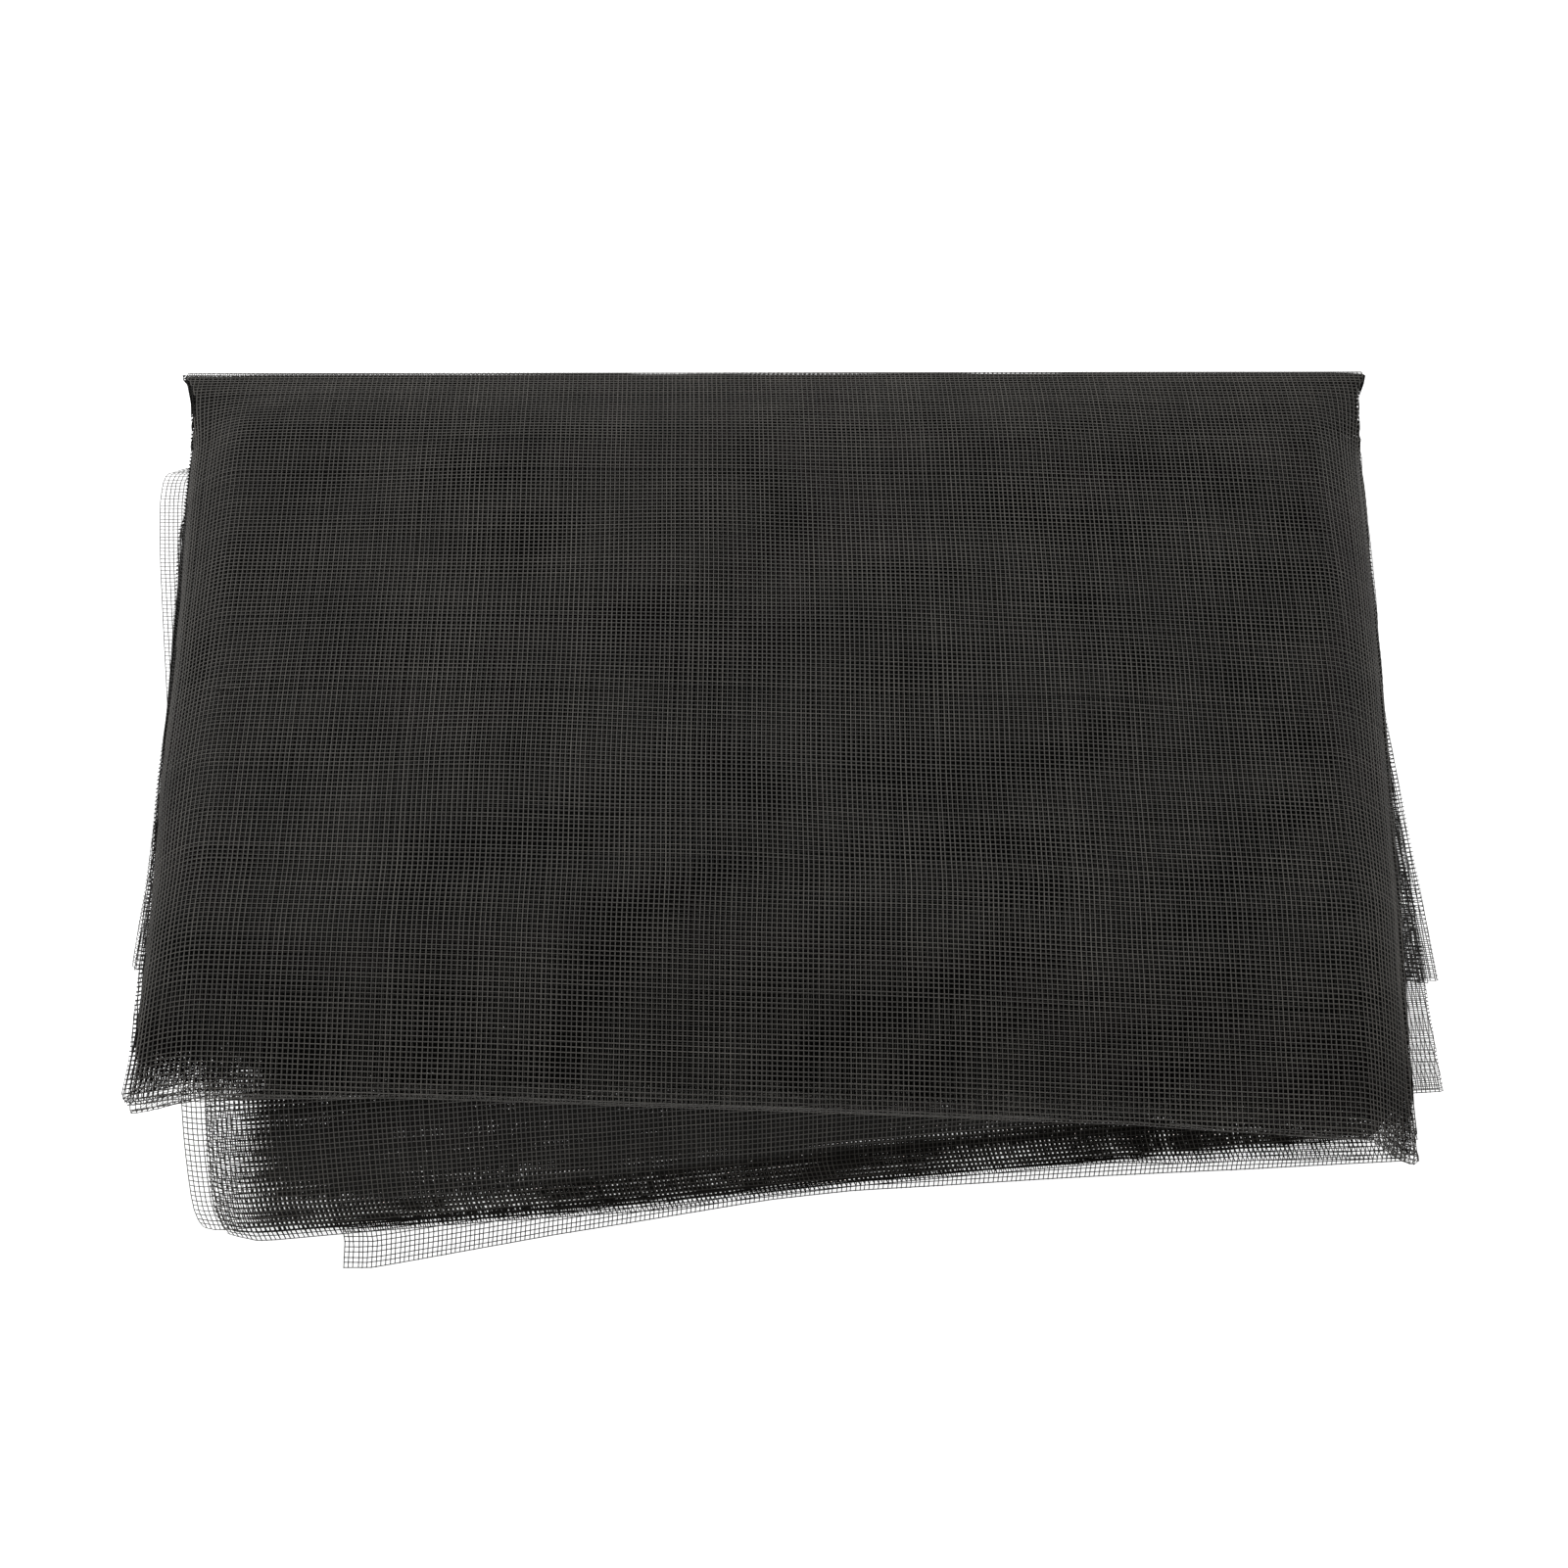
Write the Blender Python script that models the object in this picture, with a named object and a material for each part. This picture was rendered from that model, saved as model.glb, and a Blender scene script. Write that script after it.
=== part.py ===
"""A window insect screen, folded for the shelf: one cut of net, 16 plies, as one solid.

The cut is pleated into four plies across its width (a, b, c, d), and the pleated strip
is folded in half twice along its length, which makes four pages of four plies each.
+X is to the right, -Y is the front, +Z is up. Lengths below are in millimetres.
"""

import math
from collections import namedtuple

import bpy
import numpy as np

MM = 0.001
THICKNESS = 1.0  # of the solid; the net itself is thinner
PINCH = 1.5  # from one ply to the next where the strip is pressed flat in a crease

# How high the pack stands at the corners of its top page, and how its middle puffs up.
Heights = namedtuple("Heights", "front_left front_right back_left back_right puff")
PACK = Heights(front_left=77, front_right=49, back_left=60, back_right=65, puff=6)
PACK_HALF = (190, 138)  # half width and half depth that those corners stand at
WAVE = 1.2  # height of the slow waves on the top page

# Where each page ends, as (x, y) at its four corners.
Page = namedtuple("Page", "name front_left front_right back_left back_right")
PAGES = {
    page.name: page
    for page in (
        Page("bottom", (-168, -146), (190, -123), (-218, 144), (185, 139)),
        Page("lower", (-198, -64), (197, -68), (-196, 128), (186, 128)),
        Page("upper", (-176, -132), (174, -132), (-195, 128), (183, 128)),
        Page("top", (-181, -132), (175.5, -132), (-198, 144), (188, 140)),
    )
}

# Each ply's height as a share of the pack's, in the middle of the page and at its sides.
Ply = namedtuple("Ply", "middle side")
STACK = {
    "bottom": {"a": Ply(0, 0), "b": Ply(0.06, 0.036), "c": Ply(0.12, 0.07), "d": Ply(0.18, 0.105)},
    "lower": {"d": Ply(0.27, 0.17), "c": Ply(0.33, 0.21), "b": Ply(0.39, 0.25), "a": Ply(0.45, 0.29)},
    "upper": {"a": Ply(0.54, 0.47), "b": Ply(0.60, 0.52), "c": Ply(0.66, 0.57), "d": Ply(0.72, 0.62)},
    "top": {"d": Ply(0.81, 0.71), "c": Ply(0.87, 0.755), "b": Ply(0.93, 0.80), "a": Ply(1, 1)},
}

# The plies end unevenly: how far each corner lies from its page's own, at the cut ends.
Cut = namedtuple("Cut", "front_left front_right back_left")
CUTS = {
    ("bottom", "a"): Cut((38, -12), (10, 23), (41, 0)),
    ("bottom", "b"): Cut((5, -4), (10, 21), (17, 0)),
    ("bottom", "c"): Cut((5, -4), (0, 0), (17, 0)),
    ("bottom", "d"): Cut((-3, -1), (0, 2), (-2, 0)),
    ("lower", "a"): Cut((4, 2), (-2, 0), (0, 0)),
    ("lower", "b"): Cut((0, 1), (-2, 1), (0, 0)),
    ("lower", "c"): Cut((0, -1), (2, 0), (0, 0)),
    ("lower", "d"): Cut((-2, 0), (2, -1), (0, 0)),
}

# The folds across the strip. `order` runs from the outermost ply to the innermost.
ORDER_OUT = "abcd"
ORDER_IN = "dcba"
FRONT_FOLD_DROP = 12  # its crease lies this far below the top page
FRONT_FOLD_LIP = 11  # ply a folds this far in front of the other three
LIP_RADIUS = 1.5
BACK_FOLD_DROP = 8  # the crease at the top of the back
BACK_START = math.radians(70)  # where the top page runs into the crease's arc
BACK_BULGE = 2.5  # of the wall of net behind the pack
PAGE_EASE = 60  # length over which a page rises from its crease
LIP_EASE = 24  # and over which ply a falls away behind its own
LOOSE_EASE = 34  # length over which a cut end sinks to the surface
LOOSE_FLAT = 4  # length of it that lies flat
LOOSE_PITCH = 1.9  # from one ply to the next there
ROLL = 6  # reach of the round sides
ROLL_DROP = 7  # fall of ply a's loose left edge on the top page
EAR = 3  # how much wider the strip is where it is pressed flat
EAR_LENGTH = 7
EAR_WIDTH = 24  # the front crease sinks by EAR_SINK and juts by EAR_JUT over this width
EAR_SINK = 4
EAR_JUT = 3
FLARE = 16  # the bottom page juts out on the left of the wall behind it
FLARE_LENGTH = 6
SIDE_LENGTH = 30  # width over which a ply goes from its middle height to its side height
RISE = 2.35  # how much thicker the bottom page gets ahead of the lower page, to fill its place
RISE_FROM, RISE_TO = -64, -104
DROOP_EASE = 35  # length over which the loose left edge starts to fall, from a crease

ALONG_PAGE = (0, 0.035, 0.09, 0.17, 0.3, 0.5, 0.7, 0.83, 0.92, 0.97, 1)
ACROSS_LOOSE = (0, 0.004, 0.014, 0.03, 0.1, 0.3, 0.5, 0.7, 0.9, 1)
ACROSS = (0, 0.035, 0.1, 0.37, 0.63, 0.9, 0.965, 1)


def mix(a, b, share):
    return a + (b - a) * share


def smooth(share):
    share = min(max(share, 0.0), 1.0)
    return share * share * (3 - 2 * share)


def ease(share):
    share = min(max(share, 0.0), 1.0)
    return 1 - (1 - share) ** 2


def pack_height(x, y):
    """How high the top page stands over (x, y)."""
    across = min(max(0.5 + x / (2 * PACK_HALF[0]), -0.05), 1.05)
    along = min(max(0.5 + y / (2 * PACK_HALF[1]), -0.05), 1.05)
    front = mix(PACK.front_left, PACK.front_right, across)
    back = mix(PACK.back_left, PACK.back_right, across)
    crown = 16 * across * (1 - across) * along * (1 - along)
    wave = math.sin(5.2 * across + 2.4 * along) * math.sin(6.1 * along - 1.5 * across)
    return mix(front, back, along) + PACK.puff * max(crown, 0) + WAVE * wave * max(crown, 0)


def corner(page, ply, name):
    """One corner of a ply of a page."""
    x, y = getattr(PAGES[page], name)
    shift = getattr(CUTS.get((page, ply)), name, (0, 0))
    return x + shift[0], y + shift[1]


def radius(order, ply):
    """The radius of this ply's turn in a crease where all four lie together."""
    return PINCH * (len(order) - order.index(ply)) - 0.3


def ear_share(across):
    """1 at either end of the front crease, 0 from EAR_WIDTH inwards."""
    page = PAGES["top"]
    width = page.front_right[0] - page.front_left[0]
    return 1 - smooth(min(across, 1 - across) * width / EAR_WIDTH)


def front_crease(across):
    """Height of the crease that joins the top page to the upper one."""
    page = PAGES["top"]
    x = mix(page.front_left[0], page.front_right[0], across)
    return pack_height(x, page.front_left[1]) - FRONT_FOLD_DROP - EAR_SINK * ear_share(across)


def back_crease(across):
    """Height of the top of the wall behind the pack."""
    page = PAGES["top"]
    x = mix(page.back_left[0], page.back_right[0], across)
    return pack_height(x, page.back_left[1]) - BACK_FOLD_DROP


def inner_crease(across):
    """Height of the crease that joins the upper page to the lower one."""
    page = PAGES["upper"]
    x = mix(page.back_left[0], page.back_right[0], across)
    middle = 0.5 * (STACK["upper"]["a"].middle + STACK["lower"]["a"].middle)
    return middle * pack_height(x, page.back_left[1])


def side_gaps(page, x, y):
    """How far (x, y) lies inside the left and the right side of the page."""
    ends = PAGES[page]
    along = (y - ends.front_left[1]) / (ends.back_left[1] - ends.front_left[1])
    left = mix(ends.front_left[0], ends.back_left[0], along)
    right = mix(ends.front_right[0], ends.back_right[0], along)
    return max(x - left, 0), max(right - x, 0)


def page_ends(page, ply, across):
    """(y, z, ease length) at the front and the back end of a ply's flat run."""
    front_y = mix(corner(page, ply, "front_left")[1], corner(page, ply, "front_right")[1], across)
    back_y = mix(corner(page, ply, "back_left")[1], corner(page, ply, "back_right")[1], across)
    out = radius(ORDER_OUT, ply)
    inner = radius(ORDER_IN, ply)
    wrap = radius(ORDER_OUT, "a") + 0.5 * THICKNESS
    if page in ("top", "upper"):
        sign = 1 if page == "top" else -1
        front_y -= EAR_JUT * ear_share(across)
        if ply == "a":
            length = PAGE_EASE if page == "top" else LIP_EASE
            front = (front_y + LIP_RADIUS, front_crease(across) + sign * LIP_RADIUS, length)
        else:
            middle_y = front_y + FRONT_FOLD_LIP + radius(ORDER_OUT, "b")
            front = (middle_y, front_crease(across) + sign * out, PAGE_EASE)
    elif page == "bottom":
        front = (front_y, 0.5 * THICKNESS + LOOSE_PITCH * ORDER_OUT.index(ply), LOOSE_EASE)
    else:
        front = (front_y, None, 1)
    if page == "top":
        middle_z = back_crease(across) - wrap
        start = (out * math.cos(BACK_START), out * math.sin(BACK_START))
        back = (back_y - wrap + start[0], middle_z + start[1], 45)
    elif page == "bottom":
        back = (back_y - wrap, wrap - out, 45)
    else:
        sign = 1 if page == "upper" else -1
        back = (back_y - radius(ORDER_IN, "d"), inner_crease(across) + sign * inner, 50)
    return front, back


def ear(y, end_y):
    return EAR * math.exp(-(((y - end_y) / EAR_LENGTH) ** 2))


def page_point(page, ply, across, along):
    """A point of a ply's middle surface. `across` runs from left to right, `along` to the back."""
    front, back = page_ends(page, ply, across)
    y = mix(front[0], back[0], along)
    left = mix(corner(page, ply, "front_left")[0], corner(page, ply, "back_left")[0], along)
    right = mix(corner(page, ply, "front_right")[0], corner(page, ply, "back_right")[0], along)
    if page in ("top", "upper"):
        wider = ear(y, front[0]) + (ear(y, back[0]) if page == "top" else 0)
        left, right = left - wider, right + wider
    if page == "bottom":
        left += FLARE * (1 - smooth((back[0] - y) / FLARE_LENGTH))
    x = mix(left, right, across)
    gaps = side_gaps(page, x, y)
    share = mix(STACK[page][ply].side, STACK[page][ply].middle, smooth(min(gaps) / SIDE_LENGTH))
    if page == "bottom":
        rise = smooth((RISE_FROM - y) / (RISE_FROM - RISE_TO))
        high = mix(share, STACK[page][ply].middle * RISE, smooth(gaps[1] / SIDE_LENGTH))
        share = mix(share, high, rise)
    z = 0.5 * THICKNESS + share * (pack_height(x, y) - THICKNESS)
    if page == "top" and ply == "a":
        near = max(0.0, 1 - (x - left) / ROLL)
        loose = smooth(min(y - front[0], back[0] - y) / DROOP_EASE)
        z -= ROLL_DROP * (1 - math.sqrt(max(0.0, 1 - near * near))) * loose
    if page == "bottom":
        ends = PAGES[page]
        share = (x - ends.front_left[0]) / (ends.front_right[0] - ends.front_left[0])
        line = mix(ends.front_left[1], ends.front_right[1], min(max(share, 0), 1))
        z = mix(front[1], z, ease((y - line - LOOSE_FLAT) / front[2]))
    elif front[1] is not None:
        z = mix(front[1], z, ease((y - front[0]) / front[2]))
    if back[1] is not None:
        z = mix(back[1], z, ease((back[0] - y) / back[2]))
    return np.array((x, y, z))


def fold_point(fold, ply, across, turn):
    """A point in a fold across the strip; `turn` runs from 0 to 1 through it."""
    if fold == "front":
        start, end = page_point("top", ply, across, 0), page_point("upper", ply, across, 0)
        reach = 0.5 * (start[2] - end[2])
        angle = math.pi * turn
        middle = 0.5 * (start + end)
        return middle + np.array((0, -reach * math.sin(angle), reach * math.cos(angle)))
    if fold == "inner":
        start, end = page_point("upper", ply, across, 1), page_point("lower", ply, across, 1)
        reach = 0.5 * (start[2] - end[2])
        angle = math.pi * turn
        middle = 0.5 * (start + end)
        return middle + np.array((0, reach * math.sin(angle), reach * math.cos(angle)))
    # From the bottom page, up the wall behind the pack, to the top page.
    low, high = page_point("bottom", ply, across, 1), page_point("top", ply, across, 1)
    turned = radius(ORDER_OUT, ply)
    wrap = radius(ORDER_OUT, "a") + 0.5 * THICKNESS
    low_middle = np.array((low[0], low[1], wrap))
    high_middle = high - turned * np.array((0, math.cos(BACK_START), math.sin(BACK_START)))
    if turn <= 0.35:
        angle = math.radians(-90 + 90 * turn / 0.35)
        return low_middle + turned * np.array((0, math.cos(angle), math.sin(angle)))
    if turn >= 0.65:
        angle = BACK_START * (turn - 0.65) / 0.35
        return high_middle + turned * np.array((0, math.cos(angle), math.sin(angle)))
    up = (turn - 0.35) / 0.3
    bulge = BACK_BULGE * math.sin(math.pi * up)
    return mix(low_middle, high_middle, up) + np.array((0, turned + bulge, 0))


def path():
    """The stations along the strip, as functions of (ply, across), from cut end to cut end."""
    stations = []
    for v in ALONG_PAGE:
        stations.append(lambda ply, a, v=v: page_point("bottom", ply, a, v))
    for turn in (0.12, 0.24, 0.35, 0.5, 0.65, 0.77, 0.89):
        stations.append(lambda ply, a, t=turn: fold_point("wrap", ply, a, t))
    for v in reversed(ALONG_PAGE):
        stations.append(lambda ply, a, v=v: page_point("top", ply, a, v))
    for turn in (0.25, 0.5, 0.75):
        stations.append(lambda ply, a, t=turn: fold_point("front", ply, a, t))
    for v in ALONG_PAGE:
        stations.append(lambda ply, a, v=v: page_point("upper", ply, a, v))
    for turn in (0.25, 0.5, 0.75):
        stations.append(lambda ply, a, t=turn: fold_point("inner", ply, a, t))
    for v in reversed(ALONG_PAGE):
        stations.append(lambda ply, a, v=v: page_point("lower", ply, a, v))
    return stations


def side_arc(start, end, outward, steps):
    """The round fold that joins two plies at one side, without its ends."""
    half = 0.5 * (start - end)
    middle = 0.5 * (start + end)
    reach = min(float(np.linalg.norm(half)), ROLL)
    angles = [math.pi * (i + 1) / (steps + 1) for i in range(steps)]
    side = np.array((outward * reach, 0, 0))
    return [middle + half * math.cos(angle) + side * math.sin(angle) for angle in angles]


def section(station):
    """One line of points across the cut of net, pleated: a to the right, b back, c, d back."""
    a = [station("a", share) for share in ACROSS_LOOSE]
    b = [station("b", share) for share in reversed(ACROSS)]
    c = [station("c", share) for share in ACROSS]
    d = [station("d", share) for share in reversed(ACROSS)]
    line = a + side_arc(a[-1], b[0], 1, 4) + b
    line += side_arc(b[-1], c[0], -1, 2) + c
    line += side_arc(c[-1], d[0], 1, 2) + d
    return line


def surface():
    """The middle surface of the whole cut, as an array (along the strip, across it, xyz)."""
    return np.array([section(station) for station in path()])


def normals(grid):
    along = np.gradient(grid, axis=0)
    across = np.gradient(grid, axis=1)
    found = np.cross(across, along)
    return found / np.linalg.norm(found, axis=2, keepdims=True)


def closed_mesh(name, grid):
    """A sheet of THICKNESS about the grid, standing on z = 0 with its box centred on the origin."""
    out = normals(grid) * (0.5 * THICKNESS)
    sides = np.stack((grid + out, grid - out))
    low, high = sides.min(axis=(0, 1, 2)), sides.max(axis=(0, 1, 2))
    sides -= np.array((0.5 * (low[0] + high[0]), 0.5 * (low[1] + high[1]), low[2]))
    rows, columns = grid.shape[:2]
    count = rows * columns
    faces = []
    for i in range(rows - 1):
        for j in range(columns - 1):
            k = i * columns + j
            faces.append((k, k + 1, k + columns + 1, k + columns))
            faces.append((count + k, count + k + columns, count + k + columns + 1, count + k + 1))
    rim = [j for j in range(columns)]
    rim += [i * columns + columns - 1 for i in range(1, rows)]
    rim += [(rows - 1) * columns + j for j in range(columns - 2, -1, -1)]
    rim += [i * columns for i in range(rows - 2, 0, -1)]
    for here, there in zip(rim, rim[1:] + rim[:1]):
        faces.append((there, here, count + here, count + there))
    mesh = bpy.data.meshes.new(name)
    mesh.from_pydata((sides.reshape(-1, 3) * MM).tolist(), [], faces)
    mesh.validate()
    return mesh


def net_material():
    material = bpy.data.materials.new("coated_net")
    material.use_nodes = True
    shader = material.node_tree.nodes["Principled BSDF"]
    shader.inputs["Base Color"].default_value = (0.03, 0.03, 0.029, 1)
    shader.inputs["Roughness"].default_value = 0.6
    shader.inputs["Metallic"].default_value = 0
    return material


def main():
    for thing in list(bpy.data.objects):
        bpy.data.objects.remove(thing, do_unlink=True)
    mesh = closed_mesh("folded_net", surface())
    mesh.materials.append(net_material())
    screen = bpy.data.objects.new("folded_net", mesh)
    bpy.context.scene.collection.objects.link(screen)


main()
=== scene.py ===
"""A window insect screen, folded as it is kept: the threads of one length of net.

The net is pleated into four plies across its width (a, b, c, d), and the pleated strip is
folded in half twice along its length, which makes four pages of four plies each. Its middle
surface is worked out first, and then every thread of it is laid at its own place in the cloth.
+X is to the right, -Y is the front, +Z is up.
"""

import functools
import math
from collections import namedtuple

import bpy
import numpy as np
from bpy.props import EnumProperty, FloatProperty, FloatVectorProperty, PointerProperty
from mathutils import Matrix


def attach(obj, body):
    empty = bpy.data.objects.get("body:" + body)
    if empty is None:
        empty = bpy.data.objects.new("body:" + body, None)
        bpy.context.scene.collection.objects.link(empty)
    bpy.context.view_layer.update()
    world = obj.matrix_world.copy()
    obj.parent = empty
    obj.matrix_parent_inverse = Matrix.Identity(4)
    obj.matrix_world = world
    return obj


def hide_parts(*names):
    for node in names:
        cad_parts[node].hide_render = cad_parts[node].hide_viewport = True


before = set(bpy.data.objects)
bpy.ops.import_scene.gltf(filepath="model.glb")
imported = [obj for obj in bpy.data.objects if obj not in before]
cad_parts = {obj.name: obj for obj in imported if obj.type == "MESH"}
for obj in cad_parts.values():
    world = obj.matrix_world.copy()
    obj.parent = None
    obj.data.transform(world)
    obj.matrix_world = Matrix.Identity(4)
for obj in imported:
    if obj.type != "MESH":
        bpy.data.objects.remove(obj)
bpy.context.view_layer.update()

bl_info = {
    "name": "Folded insect screen",
    "version": (1, 0, 0),
    "blender": (4, 5, 0),
    "location": "View3D > Sidebar > Insect screen",
    "description": "Lays the threads of a net along the folds of its pack",
    "category": "Mesh",
}

MM = 0.001
CENTRE = (-8.4, -5.75)  # of the pack's box, in the sizes of the tables below

# ---------------------------------------------------------------- the folded surface, in mm

# Where each page ends, as (x, y) at its four corners.
Page = namedtuple("Page", "name front_left front_right back_left back_right")
PAGES = {
    page.name: page
    for page in (
        Page("bottom", (-172, -148), (199.5, -102), (-217, 144), (195, 139)),
        Page("lower", (-198, -65), (199, -71), (-199, 128), (192, 128)),
        Page("upper", (-181, -132), (182, -132), (-200, 128), (194, 128)),
        Page("top", (-182.5, -132), (182, -132), (-198.5, 142.9), (190, 138.9)),
    )
}

# The sides that aren't straight, and the front fold, as (x, y) from the front to the back.
SIDES = {
    ("bottom", "left"): (
        (-172.7, -148), (-174.1, -142), (-175.9, -120), (-178.6, -98), (-184.8, -75), (-192, -39),
        (-198.7, -3), (-204.1, 36), (-209, 65), (-213.8, 94), (-217.9, 123), (-218.4, 132), (-217, 144),
    ),
    ("lower", "left"): (
        (-198.8, -66), (-198.6, -29), (-200.5, 30), (-203.5, 73), (-205.5, 100), (-200, 117),
        (-198, 128),
    ),
    ("upper", "left"): (
        (-182, -132), (-186, -100), (-189, -63), (-192, -29), (-196, 40), (-200, 108), (-200, 128),
    ),
    ("top", "left"): (
        (-181.8, -134), (-183.8, -96), (-185.4, -60), (-188.3, -23), (-189.6, 14), (-192, 51),
        (-195, 88), (-196.6, 124), (-198, 142),
    ),
    ("top", "right"): (
        (180.8, -135), (181.8, -117), (183, -80), (184.4, -62), (185.8, -26), (187.4, 11), (189, 47),
        (190, 84), (190.2, 102), (190, 120), (190, 140),
    ),
}
FRONT_FOLD = (
    (-184, -134), (-170, -132), (-158, -130.8), (-105, -129.2), (0, -129.6), (70, -130.4),
    (100, -130.6), (128, -132), (160, -133), (183, -133),
)

# Each ply's height as a share of the pack's, in the middle of the page and at its sides.
Ply = namedtuple("Ply", "middle side")
STACK = {
    "bottom": {"a": Ply(0, 0), "b": Ply(0.06, 0.036), "c": Ply(0.12, 0.07), "d": Ply(0.18, 0.105)},
    "lower": {"d": Ply(0.27, 0.17), "c": Ply(0.33, 0.21), "b": Ply(0.39, 0.25), "a": Ply(0.45, 0.29)},
    "upper": {"a": Ply(0.54, 0.47), "b": Ply(0.60, 0.50), "c": Ply(0.66, 0.54), "d": Ply(0.72, 0.58)},
    "top": {"d": Ply(0.87, 0.92), "c": Ply(0.915, 0.945), "b": Ply(0.96, 0.97), "a": Ply(1, 1)},
}

# The plies end unevenly: how far each corner lies from its page's own. Where a front end
# follows FRONT_FOLD or CUT_EDGES, only the x counts.
Cut = namedtuple("Cut", "front_left front_right back_left back_right")
CUTS = {
    ("bottom", "a"): Cut((43, 0), (-12, 0), (30, 0), (-3, 0)),
    ("bottom", "b"): Cut((12, 0), (-12, 0), (15, 0), (-3, 0)),
    ("bottom", "c"): Cut((7, 0), (0, 0), (15, 0), (0, 0)),
    ("lower", "a"): Cut((4, 2), (-2, 0), (0, 0), (0, 0)),
    ("lower", "b"): Cut((0, 1), (-2, 1), (0, 0), (0, 0)),
    ("lower", "c"): Cut((0, -1), (2, 3), (0, 0), (0, 0)),
    ("lower", "d"): Cut((-2, 0), (2, 5), (0, 0), (0, 0)),
    ("top", "b"): Cut((-0.6, 0), (0.3, 0), (-0.8, 0), (0.3, 0)),
    ("top", "c"): Cut((-1, 0), (0.7, 0), (-1.2, 0), (0.6, 0)),
    ("top", "d"): Cut((-1.4, 0), (1.1, 0), (0, 0), (0.9, 0)),
    ("upper", "b"): Cut((1.5, 0), (0, 0), (0, 0), (0, 0)),
    ("upper", "c"): Cut((1, 0), (0, 0), (0, 0), (0, 0)),
}

# The front cut edge of each ply on the floor, as (x, y) from the left to the right.
CUT_EDGES = {
    "a": ((-129, -157), (-121, -157), (-69, -147), (-3, -136), (23, -133), (82, -129), (189, -123)),
    "b": (
        (-163, -150), (-132, -147), (-85, -143), (-37, -140), (23, -132), (73, -127.2),
        (100, -124.8), (125, -125), (140, -123.8), (189, -123),
    ),
    "c": (
        (-165, -148), (-85, -143), (-37, -138), (23, -131), (82, -126), (177, -117),
        (189, -102.5), (199.5, -102),
    ),
    "d": (
        (-173, -148), (-133, -145), (-37, -136), (82, -125), (141, -120), (177, -116.5),
        (189, -102.5), (199.5, -102),
    ),
}

# How far behind the outermost ply's fold the others fold in front, at the left and at the right.
Lip = namedtuple("Lip", "left right")
LIPS = {"b": Lip(2, 3), "c": Lip(5, 6), "d": Lip(9, 9)}

ORDER_OUT = "abcd"
ORDER_IN = "dcba"
PACK_HALF = (190, 138)  # half width and half depth that the pack's heights stand at
WAVE = 1.2  # height of the slow waves on the top page
PINCH = 0.4  # from one ply to the next where the strip is pressed flat in a crease
PINCH_START = 0.1  # radius of the inmost ply's turn there
FRONT_FOLD_DROP = 12  # its crease lies this far below the top page
LIP_RADIUS = 1.5  # of the outermost ply's turn in it
BACK_FOLD_DROP = 8  # the crease at the top of the back
BACK_START = math.radians(70)  # where the top page runs into that crease's arc
BACK_BULGE = 2.5  # of the wall of net behind the pack
WRAP_CORNERS = (0.35, 0.65)  # where the wall starts and ends, as shares of the run behind the pack
PAGE_EASE = 60  # length over which a page rises from its crease
LIP_EASE = 24  # and over which the outermost ply falls away behind its own
BACK_EASE = 45
INNER_EASE = 50
LOOSE_EASE = 34  # length over which a cut end sinks to the floor
LOOSE_FLAT = 4  # length of it that lies flat
LOOSE_PITCH = 1.9  # from one ply to the next there
Roll = namedtuple("Roll", "length drop")
ROLLS = {"left": Roll(20, 12), "right": Roll(20, 13)}  # the top page bends down at its sides
ROLL_TIGHTNESS = 0.3  # 0 for a parabola, 1 for a quarter ellipse
ROLL_EASE = 35  # length over which the rolled sides start, from the back crease
SIDE_REACH = 6  # most that the round folds between plies reach out
CURL_LENGTH, CURL = 8, 1.5  # the left front corners of the bottom page turn in
FRONT_WIDENING, BACK_WIDENING = 1, 4  # the strip is wider where it is pressed flat
WIDENING_LENGTH = 7
Ear = namedtuple("Ear", "width sink jut")
EARS = {"left": Ear(24, 3, 1), "right": Ear(16, 10, 3)}  # the front fold's two corners hang down
FLARES = {"a": 4, "b": 3, "c": 3, "d": 10}  # how much further in each ply's left side ends at the back
FLARE_LENGTH = 6
SIDE_LENGTH = 30  # width over which a ply goes from its middle height to its side height
RISE = 2.35  # how much thicker the bottom page gets ahead of the lower page, to fill its place
RISE_FROM, RISE_TO = -64, -104
FLOOR_GAP = 0.25  # the lowest ply's middle lies this high

# Slow unevenness of every ply: crest spacing along x and y, turn from ply to ply, height.
Ripple = namedtuple("Ripple", "wide deep turn height")
RIPPLES = (
    Ripple(13.0, -21.0, 1.3, 0.22),
    Ripple(-19.0, 9.0, 2.9, 0.20),
    Ripple(31.0, 17.0, 4.1, 0.30),
)
RIPPLE_EDGE = 14  # they fade over this length at the ends and the sides of a page


def mix(a, b, share):
    return a + (b - a) * share


def smooth(share):
    share = np.clip(share, 0, 1)
    return share * share * (3 - 2 * share)


def ease(share):
    return 1 - (1 - np.clip(share, 0, 1)) ** 2


def pack_height(x, y):
    """How high the top page stands over (x, y)."""
    pack = bpy.context.scene.screen_pack
    across = np.clip(0.5 + x / (2 * PACK_HALF[0]), -0.05, 1.05)
    along = np.clip(0.5 + y / (2 * PACK_HALF[1]), -0.05, 1.05)
    front = mix(pack.front_left, pack.front_right, across) / MM
    back = mix(pack.back_left, pack.back_right, across) / MM
    crown = np.maximum(16 * across * (1 - across) * along * (1 - along), 0)
    wave = np.sin(5.2 * across + 2.4 * along) * np.sin(6.1 * along - 1.5 * across)
    return mix(front, back, along) + (pack.puff / MM + WAVE * wave) * crown


def corner(page, ply, name):
    """(x, y) of one corner of a ply of a page."""
    x, y = getattr(PAGES[page], name)
    shift = getattr(CUTS.get((page, ply)), name, (0, 0))
    return x + shift[0], y + shift[1]


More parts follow.
